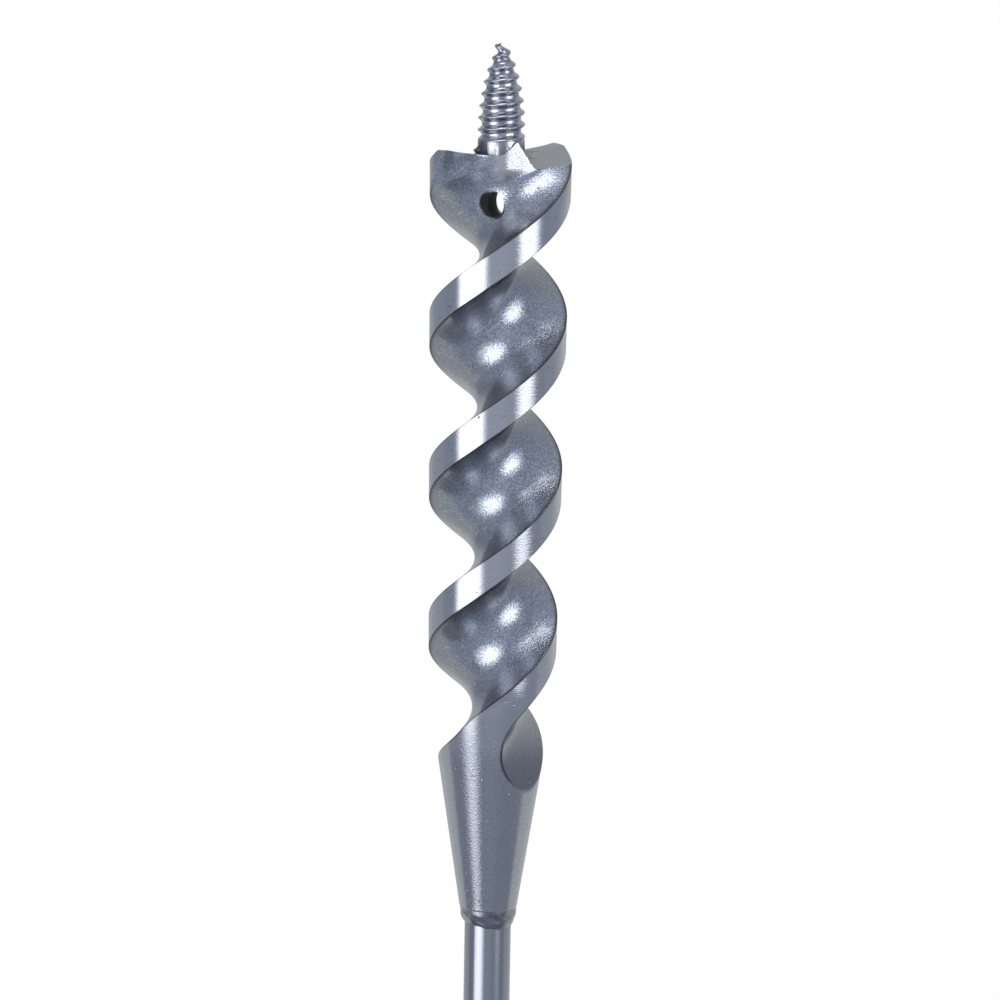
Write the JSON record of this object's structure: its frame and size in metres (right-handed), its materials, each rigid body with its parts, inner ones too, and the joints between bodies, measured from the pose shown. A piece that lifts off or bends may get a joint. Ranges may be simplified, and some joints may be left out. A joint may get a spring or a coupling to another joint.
{
  "type": "flexible auger bit",
  "caption": "Twisted steel auger head with a threaded lead screw and a pull-wire hole, brazed onto a long thin spring-steel shaft that bends to drill through framing.",
  "frame": {"origin": "centre of the shank's end face", "axes": "+Z along the straight shaft's axis, from the shank towards the lead screw's point; the shaft bends in the YZ plane"},
  "size_m": [0.019, 0.0188, 0.4571],
  "materials": {
    "spring_steel": "drawn, lacquered",
    "forged_steel": "blasted flutes, ground lands, lacquered",
    "screw_steel": "cut thread, lacquered",
    "braze": "dark, uneven"
  },
  "bodies": {
    "shank": {"shaft_shank": "spring_steel"},
    "flex_1": {"shaft_flex_1": "spring_steel"},
    "flex_2": {"shaft_flex_2": "spring_steel"},
    "flex_3": {"shaft_flex_3": "spring_steel"},
    "flex_4": {"shaft_flex_4": "spring_steel"},
    "flex_5": {"shaft_flex_5": "spring_steel"},
    "flex_6": {"shaft_flex_6": "spring_steel"},
    "flex_7": {"shaft_flex_7": "spring_steel"},
    "flex_8": {"shaft_flex_8": "spring_steel"},
    "flex_9": {"shaft_flex_9": "spring_steel"},
    "head": {"shaft_socket_end": "spring_steel", "braze_joint": "braze", "auger_head": "forged_steel", "lead_screw": "screw_steel"}
  },
  "joints": [
    {"name": "bend_1", "type": "hinge", "parent": "shank", "child": "flex_1", "pos_m": [0, 0, 0.05928], "axis": [1, 0, 0], "range_deg": [-3.5, 3.5], "stiffness_Nm_per_rad": 559},
    {"name": "bend_2", "type": "hinge", "parent": "flex_1", "child": "flex_2", "pos_m": [0, 0, 0.08784], "axis": [1, 0, 0], "range_deg": [-3.5, 3.5], "stiffness_Nm_per_rad": 559},
    {"name": "bend_3", "type": "hinge", "parent": "flex_2", "child": "flex_3", "pos_m": [0, 0, 0.1164], "axis": [1, 0, 0], "range_deg": [-3.5, 3.5], "stiffness_Nm_per_rad": 559},
    {"name": "bend_4", "type": "hinge", "parent": "flex_3", "child": "flex_4", "pos_m": [0, 0, 0.14496], "axis": [1, 0, 0], "range_deg": [-3.5, 3.5], "stiffness_Nm_per_rad": 559},
    {"name": "bend_5", "type": "hinge", "parent": "flex_4", "child": "flex_5", "pos_m": [0, 0, 0.17352], "axis": [1, 0, 0], "range_deg": [-3.5, 3.5], "stiffness_Nm_per_rad": 559},
    {"name": "bend_6", "type": "hinge", "parent": "flex_5", "child": "flex_6", "pos_m": [0, 0, 0.20208], "axis": [1, 0, 0], "range_deg": [-3.5, 3.5], "stiffness_Nm_per_rad": 559},
    {"name": "bend_7", "type": "hinge", "parent": "flex_6", "child": "flex_7", "pos_m": [0, 0, 0.23064], "axis": [1, 0, 0], "range_deg": [-3.5, 3.5], "stiffness_Nm_per_rad": 559},
    {"name": "bend_8", "type": "hinge", "parent": "flex_7", "child": "flex_8", "pos_m": [0, 0, 0.2592], "axis": [1, 0, 0], "range_deg": [-3.5, 3.5], "stiffness_Nm_per_rad": 559},
    {"name": "bend_9", "type": "hinge", "parent": "flex_8", "child": "flex_9", "pos_m": [0, 0, 0.28776], "axis": [1, 0, 0], "range_deg": [-3.5, 3.5], "stiffness_Nm_per_rad": 559},
    {"name": "bend_10", "type": "hinge", "parent": "flex_9", "child": "head", "pos_m": [0, 0, 0.31632], "axis": [1, 0, 0], "range_deg": [-3.5, 3.5], "stiffness_Nm_per_rad": 559}
  ],
  "couplings": [
    {"joint": "bend_2", "follows": "bend_1", "ratio": 1},
    {"joint": "bend_3", "follows": "bend_1", "ratio": 1},
    {"joint": "bend_4", "follows": "bend_1", "ratio": 1},
    {"joint": "bend_5", "follows": "bend_1", "ratio": 1},
    {"joint": "bend_6", "follows": "bend_1", "ratio": 1},
    {"joint": "bend_7", "follows": "bend_1", "ratio": 1},
    {"joint": "bend_8", "follows": "bend_1", "ratio": 1},
    {"joint": "bend_9", "follows": "bend_1", "ratio": 1},
    {"joint": "bend_10", "follows": "bend_1", "ratio": 1}
  ]
}
